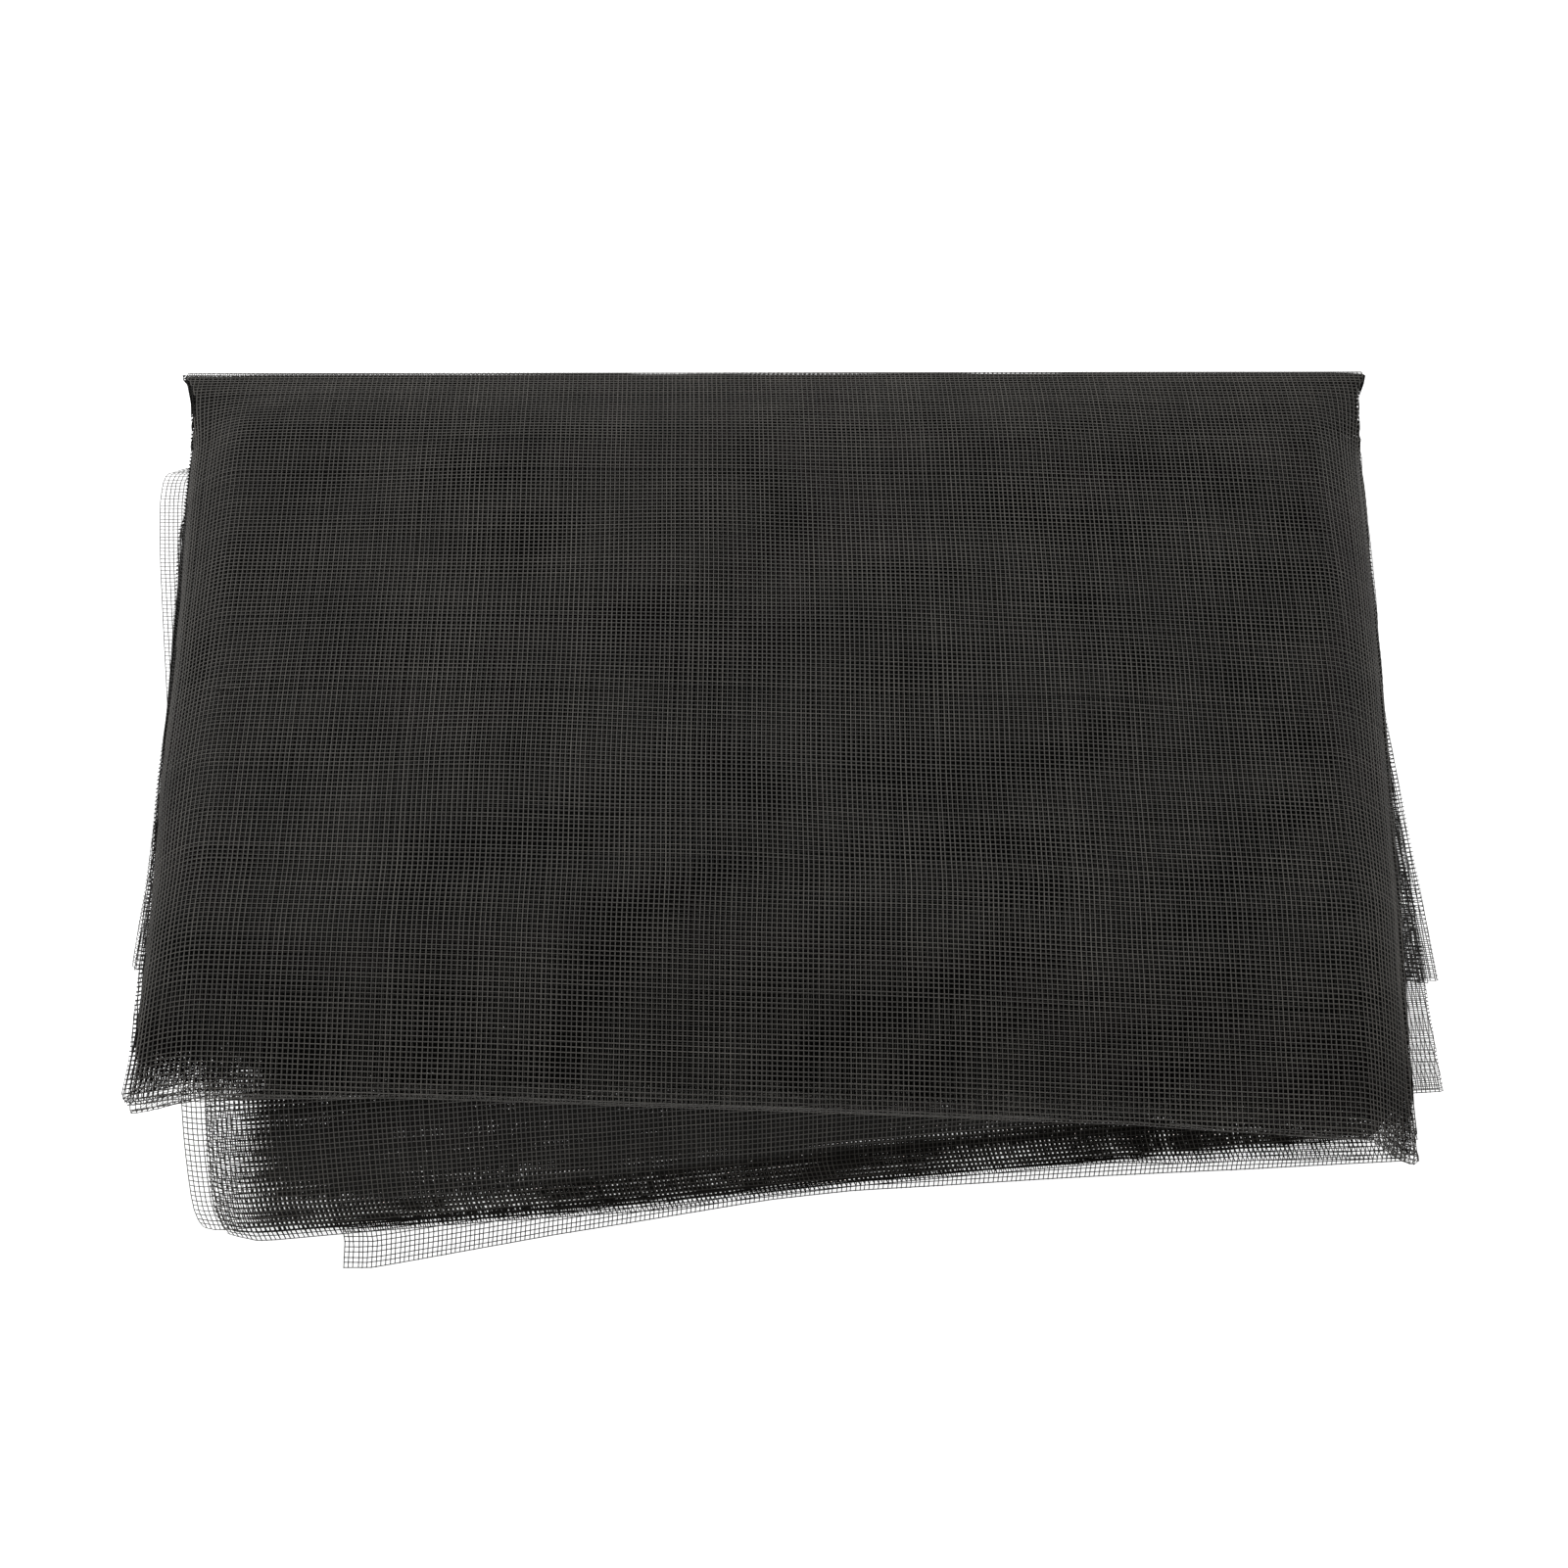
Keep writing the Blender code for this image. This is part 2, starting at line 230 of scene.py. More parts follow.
def radius(order, ply):
    """The radius of this ply's turn in a crease where all four lie together."""
    return PINCH_START + PINCH * (len(order) - 1 - order.index(ply))


WRAP = radius(ORDER_OUT, "a") + 0.5  # from the floor to the middle of the turns behind the pack


def ears(across):
    """(sink, jut) of the front fold at its two corners."""
    page = PAGES["top"]
    width = page.front_right[0] - page.front_left[0]
    sink = jut = 0
    for ear, gap in zip(EARS.values(), (across, 1 - across)):
        near = 1 - smooth(gap * width / ear.width)
        sink, jut = sink + ear.sink * near, jut + ear.jut * near
    return sink, jut


def front_crease(across):
    """Height of the crease that joins the top page to the upper one."""
    page = PAGES["top"]
    x = mix(page.front_left[0], page.front_right[0], across)
    return pack_height(x, page.front_left[1]) - FRONT_FOLD_DROP - ears(across)[0]


def back_crease(across):
    """Height of the top of the wall behind the pack."""
    page = PAGES["top"]
    x = mix(page.back_left[0], page.back_right[0], across)
    return pack_height(x, page.back_left[1]) - BACK_FOLD_DROP


def inner_crease(across):
    """Height of the crease that joins the upper page to the lower one."""
    page = PAGES["upper"]
    x = mix(page.back_left[0], page.back_right[0], across)
    middle = 0.5 * (STACK["upper"]["a"].middle + STACK["lower"]["a"].middle)
    return middle * pack_height(x, page.back_left[1])


def side_gaps(page, x, y):
    """How far (x, y) lies inside the left and the right side of the page."""
    ends = PAGES[page]
    along = (y - ends.front_left[1]) / (ends.back_left[1] - ends.front_left[1])
    left = mix(ends.front_left[0], ends.back_left[0], along)
    right = mix(ends.front_right[0], ends.back_right[0], along)
    return np.maximum(x - left, 0), np.maximum(right - x, 0)


def page_ends(page, ply, across):
    """(y, z, ease length) at the front and the back end of a ply's flat run."""
    back_y = mix(corner(page, ply, "back_left")[1], corner(page, ply, "back_right")[1], across)
    out = radius(ORDER_OUT, ply)
    inner = radius(ORDER_IN, ply)
    if page in ("top", "upper"):
        sign = 1 if page == "top" else -1
        line = np.array(FRONT_FOLD, float).T
        x = mix(PAGES["top"].front_left[0], PAGES["top"].front_right[0], across)
        front_y = np.interp(x, line[0], line[1]) - ears(across)[1]
        if ply == "a":
            length = PAGE_EASE if page == "top" else LIP_EASE
            front = (front_y + LIP_RADIUS, front_crease(across) + sign * LIP_RADIUS, length)
        else:
            lip = mix(LIPS[ply].left, LIPS[ply].right, across)
            middle_y = front_y + lip + radius(ORDER_OUT, "b")
            front = (middle_y, front_crease(across) + sign * out, PAGE_EASE)
    elif page == "bottom":
        edge = np.array(CUT_EDGES[ply], float).T
        shares = (edge[0] - edge[0, 0]) / (edge[0, -1] - edge[0, 0])
        front_y = np.interp(across, shares, edge[1])
        front = (front_y, FLOOR_GAP + LOOSE_PITCH * ORDER_OUT.index(ply), LOOSE_EASE)
    else:
        left, right = corner(page, ply, "front_left"), corner(page, ply, "front_right")
        front = (mix(left[1], right[1], across), None, 1)
    if page == "top":
        start = (out * math.cos(BACK_START), out * math.sin(BACK_START))
        back = (back_y - WRAP + start[0], back_crease(across) - WRAP + start[1], BACK_EASE)
    elif page == "bottom":
        back = (back_y - WRAP, WRAP - out, BACK_EASE)
    else:
        sign = 1 if page == "upper" else -1
        back = (back_y - radius(ORDER_IN, "d"), inner_crease(across) + sign * inner, INNER_EASE)
    return front, back


def side_bow(page, side, y, along):
    """How far a page's side lies from the straight line between its ends."""
    if (page, side) not in SIDES:
        return 0
    line = np.array(SIDES[page, side], float).T
    ends = PAGES[page]
    straight = mix(getattr(ends, f"front_{side}")[0], getattr(ends, f"back_{side}")[0], along)
    return np.interp(y, line[1], line[0]) - straight


def page_points(page, ply, across, along):
    """A ply's middle surface, as (along, across, xyz). `across` runs to the right."""
    across, along = across[None, :], along[:, None]
    front, back = page_ends(page, ply, across)
    y = mix(front[0], back[0], along)
    left = mix(corner(page, ply, "front_left")[0], corner(page, ply, "back_left")[0], along)
    right = mix(corner(page, ply, "front_right")[0], corner(page, ply, "back_right")[0], along)
    left, right = left + side_bow(page, "left", y, along), right + side_bow(page, "right", y, along)
    if page in ("top", "upper"):
        wider = FRONT_WIDENING * np.exp(-(((y - front[0]) / WIDENING_LENGTH) ** 2))
        if page == "top":
            wider = wider + BACK_WIDENING * np.exp(-(((y - back[0]) / WIDENING_LENGTH) ** 2))
        left, right = left - wider, right + wider
    if page == "bottom":
        left = left + FLARES[ply] * (1 - smooth((back[0] - y) / FLARE_LENGTH))
    x = mix(left, right, across)
    gaps = side_gaps(page, x, y)
    heights = STACK[page][ply]
    share = mix(heights.side, heights.middle, smooth(np.minimum(*gaps) / SIDE_LENGTH))
    if page == "bottom":
        rise = smooth((RISE_FROM - y) / (RISE_FROM - RISE_TO))
        high = mix(share, heights.middle * RISE, smooth(gaps[1] / SIDE_LENGTH))
        share = mix(share, high, rise)
    z = FLOOR_GAP + share * (pack_height(x, y) - FLOOR_GAP)
    inside = smooth(np.minimum(np.minimum(*gaps), np.minimum(y - front[0], back[0] - y)) / RIPPLE_EDGE)
    layer = ORDER_IN.index(ply) + len(ORDER_IN) * list(PAGES).index(page)
    for ripple in RIPPLES:
        crest = x / ripple.wide + y / ripple.deep + layer * ripple.turn
        z = z + inside * ripple.height * np.sin(crest) * (ply != "a" or page != "bottom")
    if page == "top":
        loose = smooth((back[0] - y) / ROLL_EASE)
        for roll, gap in zip(ROLLS.values(), (x - left, right - x)):
            near = np.maximum(0, 1 - gap / roll.length)
            bent = mix(near * near, 1 - np.sqrt(np.maximum(0, 1 - near * near)), ROLL_TIGHTNESS)
            z = z - roll.drop * bent * loose
    if page == "bottom":
        ends = PAGES[page]
        place = (x - ends.front_left[0]) / (ends.front_right[0] - ends.front_left[0])
        line = mix(ends.front_left[1], ends.front_right[1], np.clip(place, 0, 1))
        z = mix(front[1], z, ease((y - line - LOOSE_FLAT) / front[2]))
        if ply != "a":
            near = np.maximum(0, 1 - (x - left) / CURL_LENGTH)
            near = CURL * (near * np.maximum(0, 1 - (y - front[0]) / CURL_LENGTH)) ** 2
            x, y, z = x + near, y + near, z + 0.5 * near
    elif front[1] is not None:
        z = mix(front[1], z, ease((y - front[0]) / front[2]))
    z = mix(back[1], z, ease((back[0] - y) / back[2]))
    return np.stack(np.broadcast_arrays(x, y, z), axis=2)


def turned(y, z):
    """(turn, across, xyz) offsets in the y-z plane."""
    y, z = np.broadcast_arrays(y, z)
    return np.stack((np.zeros_like(y), y, z), axis=2)


def fold_points(fold, ply, across, turns):
    """A ply's run through a fold across the strip, as (turn, across, xyz)."""
    first, last = np.zeros(1), np.ones(1)
    turns = turns[:, None]
    if fold != "wrap":
        pages, end, outward = {
            "front": (("top", "upper"), first, -1),
            "inner": (("upper", "lower"), last, 1),
        }[fold]
        start, stop = (page_points(page, ply, across, end) for page in pages)
        reach = 0.5 * (start[:, :, 2] - stop[:, :, 2])
        angle = math.pi * turns
        offset = turned(outward * reach * np.sin(angle), reach * np.cos(angle))
        return 0.5 * (start + stop) + offset
    low = page_points("bottom", ply, across, last)
    high = page_points("top", ply, across, last)
    size = radius(ORDER_OUT, ply)
    low_middle = low.copy()
    low_middle[:, :, 2] = WRAP
    high_middle = high - size * np.array((0, math.cos(BACK_START), math.sin(BACK_START)))
    one = np.ones((1, len(across)))
    low_end, high_end = WRAP_CORNERS
    angle = 0.5 * math.pi * (turns / low_end - 1)
    lower = low_middle + turned(size * np.cos(angle) * one, size * np.sin(angle) * one)
    angle = BACK_START * (turns - high_end) / (1 - high_end)
    upper = high_middle + turned(size * np.cos(angle) * one, size * np.sin(angle) * one)
    up = np.clip((turns - low_end) / (high_end - low_end), 0, 1)
    wall = mix(low_middle, high_middle, up[:, :, None])
    wall = wall + turned((size + BACK_BULGE * np.sin(math.pi * up)) * one, 0 * one)
    turns = turns[:, :, None]
    return np.where(turns <= low_end, lower, np.where(turns >= high_end, upper, wall))


def spaced(count):
    """Shares from 0 to 1, closer together near both ends."""
    even = np.linspace(0, 1, count)
    return 0.45 * even + 0.55 * (0.5 - 0.5 * np.cos(math.pi * even))


# How finely the middle surface is worked out.
PAGE_ROWS = spaced(110)
PLY_COLUMNS = spaced(90)
WRAP_TURNS = np.linspace(0, 1, 42)[1:-1]
FOLD_TURNS = np.linspace(0, 1, 14)[1:-1]
SIDE_STEPS = 9


def strip(ply, across):
    """One ply all along the strip, from cut end to cut end, with the name of each row's run."""
    runs = (
        ("bottom", page_points("bottom", ply, across, PAGE_ROWS)),
        ("wrap", fold_points("wrap", ply, across, WRAP_TURNS)),
        ("top", page_points("top", ply, across, PAGE_ROWS[::-1])),
        ("front", fold_points("front", ply, across, FOLD_TURNS)),
        ("upper", page_points("upper", ply, across, PAGE_ROWS)),
        ("inner", fold_points("inner", ply, across, FOLD_TURNS)),
        ("lower", page_points("lower", ply, across, PAGE_ROWS[::-1])),
    )
    names = [name for name, points in runs for _ in points]
    return names, np.concatenate([points for _, points in runs])


def side_arc(start, end, outward):
    """The round fold that joins two plies at one side, without its ends."""
    half, middle = 0.5 * (start - end), 0.5 * (start + end)
    reach = np.minimum(np.linalg.norm(half, axis=1), SIDE_REACH)
    side = np.stack((outward * reach, 0 * reach, 0 * reach), axis=1)
    angles = math.pi * np.arange(1, SIDE_STEPS + 1) / (SIDE_STEPS + 1)
    bent = [middle + half * math.cos(angle) + side * math.sin(angle) for angle in angles]
    return np.stack(bent, axis=1)


def surface():
    """(rows' names, columns' names, points): the middle surface of the whole cut, pleated."""
    plies = {}
    for ply in ORDER_OUT:
        rows, plies[ply] = strip(ply, PLY_COLUMNS)
    a, b = plies["a"], plies["b"][:, ::-1]
    c, d = plies["c"], plies["d"][:, ::-1]
    blocks = (
        ("a", a),
        ("ab", side_arc(a[:, -1], b[:, 0], 1)),
        ("b", b),
        ("bc", side_arc(b[:, -1], c[:, 0], -1)),
        ("c", c),
        ("cd", side_arc(c[:, -1], d[:, 0], 1)),
        ("d", d),
    )
    columns = [name for name, block in blocks for _ in range(block.shape[1])]
    return rows, columns, np.concatenate([block for _, block in blocks], axis=1)


# ------------------------------------------------------------------- the threads in the cloth

Cloth = namedtuple("Cloth", "points normals whole row column place")
SLACK_KNOTS = 9  # how many walks share out the straying of the threads
SLACK = 2.2  # how far a thread strays along its length, in jitters
SLACK_REACH = 40
NEAR = 0.4  # a thread this far off a cut edge, as a share of the mesh, still counts as in the cloth
FULL_FROM = -121  # in front of this y the inmost plies' threads are as thin as all others
FULL_EASE = 10
BEND = math.radians(22)  # a thread gets a new section for each such turn
STUB = (0.0, 0.15)  # how far cut threads stick out, as a share of the mesh
RIDGE = 2.6  # height of a woven strip's ridge, in reliefs
CROSSING = 0.62  # how far the two threads of a crossing lie off the middle surface, in reliefs
RIDGE_AREA = 1.4  # surface of a ridged strip over its width


def lengths(points):
    """Length from the first point, along axis 0."""
    steps = np.linalg.norm(np.diff(points, axis=0), axis=-1)
    return np.concatenate((np.zeros((1,) + steps.shape[1:]), np.cumsum(steps, axis=0)))


def along_line(at, known, values):
    """Each column of values, read at the lengths `at`; beyond the ends it stays as it ends."""
    return np.stack([np.interp(at, known, column) for column in values.T], axis=1)


def wander(seed, count, reach, height):
    """A smooth random walk about zero, one number for each of count threads."""
    noise = np.random.default_rng(seed).normal(size=count + 2 * reach)
    kernel = np.hanning(2 * reach + 1)
    kernel /= np.sqrt((kernel**2).sum())
    return height * np.convolve(noise, kernel, mode="valid")[:count]


def weights(rows):
    """1 on the rows of the top page, where threads run straight back, and 0 at both cut ends."""
    share = np.zeros(len(rows))
    names = np.array(rows)
    share[(names == "top") | (names == "front")] = 1
    wall, upper = names == "wrap", names == "upper"
    share[wall] = smooth(np.linspace(0, 1, wall.sum()))
    share[upper] = smooth(np.linspace(1, 0, upper.sum()))
    return share


def even_length(values, pitch):
    """Their mean, as a whole number of threads."""
    return round(float(np.mean(values)) / pitch) * pitch


def thread_lines_across(rows, columns, grid, pitch):
    """Each point's place across the cloth, by rows of the grid. Both cut sides follow threads."""
    arc = lengths(grid.transpose(1, 0, 2)).T
    middle = columns.index("a") + len(PLY_COLUMNS) // 2
    fold = columns.index("ab") + SIDE_STEPS // 2
    whole = even_length(arc[:, -1], pitch)
    shared = arc * (whole / arc[:, -1:])
    rests = np.array([name == "top" for name in rows])
    centre = arc[rests, middle].mean()
    straight = arc - arc[:, middle : middle + 1] + centre
    rest = (arc - arc[:, fold : fold + 1]) / (arc[:, -1:] - arc[:, fold : fold + 1])
    after = mix(straight[:, fold : fold + 1], whole, rest)
    number = np.arange(len(columns))
    straight = np.where(number[None, :] <= fold, straight, after)
    return mix(shared, straight, weights(rows)[:, None])


def thread_lines_along(rows, points, pitch):
    """Each point's place along the cloth, (row, thread). Both cut ends follow threads."""
    arc = lengths(points)
    back, front = rows.index("top"), rows.index("front") + len(FOLD_TURNS) // 2
    start = even_length(arc[back], pitch)
    place = arc - arc[back] + start
    place[:back] = arc[:back] * (start / arc[back])
    whole = even_length(place[-1], pitch)
    rest = (arc[front:] - arc[front]) / (arc[-1] - arc[front])
    place[front:] = mix(place[front], whole, rest)
    return place, whole


def uneven(count, pitch, jitter, seed, other):
    """(places, slack): where count threads lie, and how each strays along its own length."""
    places = np.arange(count) * pitch + wander(seed, count, 1, jitter)
    walks = range(SLACK_KNOTS)
    slack = np.stack([wander(seed + 1 + i, other, SLACK_REACH, SLACK * jitter) for i in walks])
    return places, slack


@functools.lru_cache(maxsize=1)
def laid_cloth(pitch, jitter):
    """Every crossing of two threads: lengthwise thread first, then crosswise thread."""
    rows, columns, grid = surface()
    across = thread_lines_across(rows, columns, grid, pitch)
    first = math.floor(across[:, 0].min() / pitch)
    count = math.ceil(across[:, -1].max() / pitch) - first + 1
    lanes, slack = uneven(count, pitch, jitter, 3, len(rows))
    lanes += first * pitch
    knots = np.linspace(lanes[0], lanes[-1], len(slack))
    where = np.arange(len(columns), dtype=float)
    lines = np.empty((len(rows), count, 4))
    inside = np.empty((len(rows), count), bool)
    near = NEAR * pitch
    for r, line in enumerate(grid):
        at = lanes + np.interp(lanes, knots, slack[:, r])
        values = np.concatenate((line, where[:, None]), axis=1)
        lines[r] = along_line(at, across[r], values)
        inside[r] = (at >= across[r, 0] - near) & (at <= across[r, -1] + near)
    along, long = thread_lines_along(rows, lines[:, :, :3], pitch)
    number = round(long / pitch) + 1
    picks, slack = uneven(number, pitch, jitter, 31, count)
    knots = np.linspace(picks[0], picks[-1], len(slack))
    where = np.arange(len(rows), dtype=float)
    points = np.empty((count, number, 3))
    row, column = np.empty((count, number)), np.empty((count, number))
    whole = np.empty((count, number), bool)
    for m in range(count):
        at = picks + np.interp(picks, knots, slack[:, m])
        values = np.concatenate((lines[:, m], where[:, None], inside[:, m, None]), axis=1)
        found = along_line(at, along[:, m], values)
        points[m], column[m], row[m] = found[:, :3], found[:, 3], found[:, 4]
        whole[m] = found[:, 5] > 0.5
    normals = np.cross(np.gradient(points, axis=0), np.gradient(points, axis=1))
    size = np.linalg.norm(normals, axis=2, keepdims=True)
    normals = np.where(size > 1e-6, normals / np.maximum(size, 1e-6), (0, 0, 1))
    names = np.array(rows)[np.rint(row).astype(int)]
    parts = np.array(columns)[np.rint(column).astype(int)]
    on_top = whole & (names == "top") & (parts == "a")
    if normals[on_top][:, 2].mean() < 0:
        normals = -normals
    place = np.indices(whole.shape).transpose(1, 2, 0) / (np.array(whole.shape) - 1)
    points = points - np.array((CENTRE[0], CENTRE[1], 0))
    return Cloth(points, normals, whole, names, parts, place)


def shifted(flags, step):
    """The flags of each crossing's neighbour along axis 1, and False past the end."""
    moved = np.roll(flags, step, axis=1)
    moved[:, 0 if step > 0 else -1] = False
    return moved


def sections(points, whole, every):
    """Which crossings along each thread (axis 1) get a section of their own."""
    if every == 1:
        return whole
    steps = np.diff(points, axis=1)
    size = np.maximum(np.linalg.norm(steps, axis=2), 1e-9)
    cosine = (steps[:, 1:] * steps[:, :-1]).sum(axis=2) / (size[:, 1:] * size[:, :-1])
    turn = np.zeros(whole.shape)
    turn[:, 1:-1] = np.arccos(np.clip(cosine, -1, 1)) / BEND
    turn[~whole] = 0
    run = np.cumsum(np.minimum(turn + 1 / every, 1), axis=1)
    run += (np.arange(len(run)) % every / every)[:, None]
    kept = np.floor(run) != np.floor(np.roll(run, 1, axis=1))
    ends = ~shifted(whole, 1) | ~shifted(whole, -1)
    return whole & (kept | ends)


def threads(block, every, rise, pitch, seed):
    """Thin strips along axis 1. rise is the height of a strip's ridge, or 0 for a flat one."""
    points, normals, chosen, whole, place, lift, widths, tones = block
    kept = sections(points, chosen, every)
    starts = chosen & ~shifted(chosen, 1)
    run = np.cumsum(starts.reshape(-1)).reshape(chosen.shape)[kept]
    tangents = np.gradient(points, axis=1)
    tangents /= np.maximum(np.linalg.norm(tangents, axis=2, keepdims=True), 1e-9)
    loose = (chosen & ~shifted(whole, -1)).astype(float) - (chosen & ~shifted(whole, 1))
    stub = loose * np.random.default_rng(seed).uniform(*STUB, chosen.shape) * pitch
    tangents, up = tangents[kept], normals[kept]
    middle = points[kept] + up * lift[kept][:, None] + tangents * stub[kept][:, None]
    side = np.cross(up, tangents)
    side /= np.maximum(np.linalg.norm(side, axis=1, keepdims=True), 1e-9)
    side *= 0.5 * widths[kept][:, None]
    lanes = [middle - side, middle + side]
    if rise:
        lanes.insert(1, middle + up * rise)
    spots = np.repeat(place[kept][:, None], len(lanes), axis=1)
    corners = np.stack(lanes, axis=1)
    linked = np.nonzero(run[1:] == run[:-1])[0]
    wide = len(lanes)
    faces = []
    for lane in range(wide - 1):
        here = linked * wide + lane
        faces.append(np.stack((here, here + wide, here + wide + 1, here + 1), axis=1))
    tones = np.repeat(tones[kept], wide)
    return corners.reshape(-1, 3), spots.reshape(-1, 2), np.concatenate(faces), tones


def streaks(count, other, seed):
    """A tone for each crossing of each of count threads, which changes slowly along the thread."""
    knots = np.linspace(0, other - 1, other // 40 + 2)
    tones = np.random.default_rng(seed).normal(size=(count, len(knots)))
    return np.stack([np.interp(np.arange(other), knots, tone) for tone in tones])


# How much fuller the threads of the two lower plies of the bottom page and the wall are drawn, as shares of
# the inmost plies' extra width: just behind the cut edge, and further in. The extra width is painted shade,
# which darkens these plies under the pages over them.
Fuller = namedtuple("Fuller", "near far")
FULLER = {"c": Fuller(1.2, 2.2), "b": Fuller(0.8, 1.2)}
FULLER_FROM, FULLER_EASE = 6, 12  # how far behind the cut edge they get fuller still
Span = namedtuple("Span", "left right")
FULLER_SPAN = Span(163, 186)  # from the middle to where that starts, at the left and the right
HIDDEN_SPAN = Span(190, 193)  # the same under the lower page
SPAN_EASE = Span(16, 6)
HIDDEN_FROM, HIDDEN_EASE = 60, 20  # how far behind the cut edge the lower page hides them
# Painted shade: under the lower page the threads are drawn wider still by this share, to darken them there.
HIDDEN_MORE = 0.5
MARGIN_FROM, MARGIN_EASE, MARGIN_MORE = 168, 10, 0.9  # the inmost plies are fullest near the sides
MARGIN_FRONT, MARGIN_RISE = -60, 30  # from this y back


def shade_breadths(cloth, look):
    """Width of the threads at each crossing, in widths of a thread. The inmost plies, and the lower plies
    of the bottom page and the wall, are drawn wider than a thread is: painted shade, which darkens the
    inside of the pack and the plies under its pages.
    """
    inmost = np.isin(cloth.column, ("c", "cd", "d")) & ~np.isin(cloth.row, ("bottom", "lower"))
    behind = np.isin(cloth.column, ("b", "bc")) & np.isin(cloth.row, ("upper", "inner", "wrap"))
    x, y = cloth.points[:, :, 0] + CENTRE[0], cloth.points[:, :, 1] + CENTRE[1]
    fold = smooth((y - FULL_FROM) / FULL_EASE)
    margin = smooth((np.abs(x) - MARGIN_FROM) / MARGIN_EASE)
    margin = margin * smooth((y - MARGIN_FRONT) / MARGIN_RISE)
    share = np.where(inmost | behind, fold * (1 + MARGIN_MORE * margin), 0)
    edge = np.array(CUT_EDGES["c"], float).T
    depth = y - np.interp(x, edge[0], edge[1])
    hidden = smooth((depth - HIDDEN_FROM) / HIDDEN_EASE)
    inside = smooth((x + mix(FULLER_SPAN.left, HIDDEN_SPAN.left, hidden)) / SPAN_EASE.left)
    inside = inside * smooth((mix(FULLER_SPAN.right, HIDDEN_SPAN.right, hidden) - x) / SPAN_EASE.right)
    for ply, fuller in FULLER.items():
        floor = np.isin(cloth.row, ("bottom", "wrap")) & (cloth.column == ply)
        wider = mix(fuller.near, fuller.far, smooth((depth - FULLER_FROM) / FULLER_EASE))
        wider = wider + HIDDEN_MORE * hidden
        share = np.where(floor, wider * inside * smooth(depth), share)
    return mix(1, look.shade_fullness, share)


def ridged(every):
    """Whether a piece's strips have a ridge: the ones in plain sight do."""
    return every < 3


def net_mesh(name, cloth, chosen, every, look):
    """The mesh of the crossings in chosen, with both sets of threads."""
    woven = 1.0 if every == 1 else 0.0
    checks = np.indices(chosen.shape).sum(axis=0) % 2 * 2 - 1
    relief = look.relief / MM
    widths = look.width / MM * shade_breadths(cloth, look)
    rise = RIDGE * relief if ridged(every) else 0.0
    over = CROSSING * relief
    made = []
    for turn in (1, -1):
        lift = turn * (woven * checks * over + (1 - woven) * over)
        block = [cloth.points, cloth.normals, chosen, cloth.whole, cloth.place, lift, widths]
        if turn < 0:
            block = [one.swapaxes(0, 1) for one in block]
        block.append(streaks(*block[0].shape[:2], 60 + turn))
        made.append(threads(block, every, rise, look.pitch / MM, 7 + turn))
    shift = len(made[0][0])
    points = np.concatenate([one[0] for one in made]) * MM
    spots = np.concatenate([one[1] for one in made])
    faces = np.concatenate((made[0][2], made[1][2][:, ::-1] + shift))
    mesh = bpy.data.meshes.new(name)
    mesh.vertices.add(len(points))
    mesh.vertices.foreach_set("co", points.astype(np.float32).reshape(-1))
    mesh.loops.add(faces.size)
    mesh.loops.foreach_set("vertex_index", faces.astype(np.int32).reshape(-1))
    mesh.polygons.add(len(faces))
    mesh.polygons.foreach_set("loop_start", np.arange(0, faces.size, 4, dtype=np.int32))
    mesh.update(calc_edges=True)
    layer = mesh.uv_layers.new(name="OFBake", do_init=False)
    layer.uv.foreach_set("vector", spots[faces.reshape(-1)].astype(np.float32).reshape(-1))
    tones = mesh.attributes.new("tone", "FLOAT", "POINT")
    tones.data.foreach_set("value", np.concatenate([one[3] for one in made]).astype(np.float32))
    mesh.shade_smooth()
    return mesh


# ----------------------------------------------------------------------------- the pieces

# `every` says after how many crossings a thread gets a section, where it runs straight.
# The fifth column is painted shade: outer, middle or inner, how far the thread colour and gloss of a piece
# are scaled down for lying under other plies.
Piece = namedtuple("Piece", "name pages plies every finish rests_on")
ALL = ("a", "ab", "b", "bc", "c", "cd", "d")
PIECES = (
    Piece("net_top_front", ("top", "front"), ("a", "ab"), 1, "outer", "net_top_second"),
    Piece("net_top_back", ("top",), ("a", "ab"), 1, "outer", "net_top_second"),
    Piece("net_top_second", ("top", "front"), ("b", "bc"), 5, "middle", "net_top_inner"),
    Piece("net_top_inner", ("top", "front"), ("c", "cd", "d"), 8, "inner", "net_upper"),
    Piece("net_upper", ("upper", "inner"), ALL, 8, "inner", "net_lower"),
    Piece("net_lower", ("lower",), ALL, 7, "middle", "net_bottom"),
    Piece("net_bottom", ("bottom",), ("a", "ab", "b", "bc", "c"), 6, "middle", "floor"),
    Piece("net_bottom_top", ("bottom",), ("cd", "d"), 5, "outer", "net_bottom"),
    Piece("net_wall", ("wrap",), ("a", "ab"), 2, "outer", "floor"),
    Piece("net_wall_inner", ("wrap",), ("b", "bc", "c", "cd", "d"), 4, "middle", "net_wall"),
)
HALF_LINE = 8  # y that parts the two pieces of the top ply


def chosen_crossings(cloth, piece):
    """The crossings of a piece, and those next to them, so that threads run on without a gap."""
    found = np.isin(cloth.row, piece.pages) & np.isin(cloth.column, piece.plies)
    if piece.name == "net_top_front":
        found &= cloth.points[:, :, 1] <= HALF_LINE
    elif piece.name == "net_top_back":
        found &= cloth.points[:, :, 1] > HALF_LINE
    grown = found.copy()
    grown[1:] |= found[:-1]
    grown[:, 1:] |= found[:, :-1]
    return grown & cloth.whole


def drop(name):
    old = bpy.data.objects.get(name)
    if old is not None:
        bpy.data.objects.remove(old, do_unlink=True)


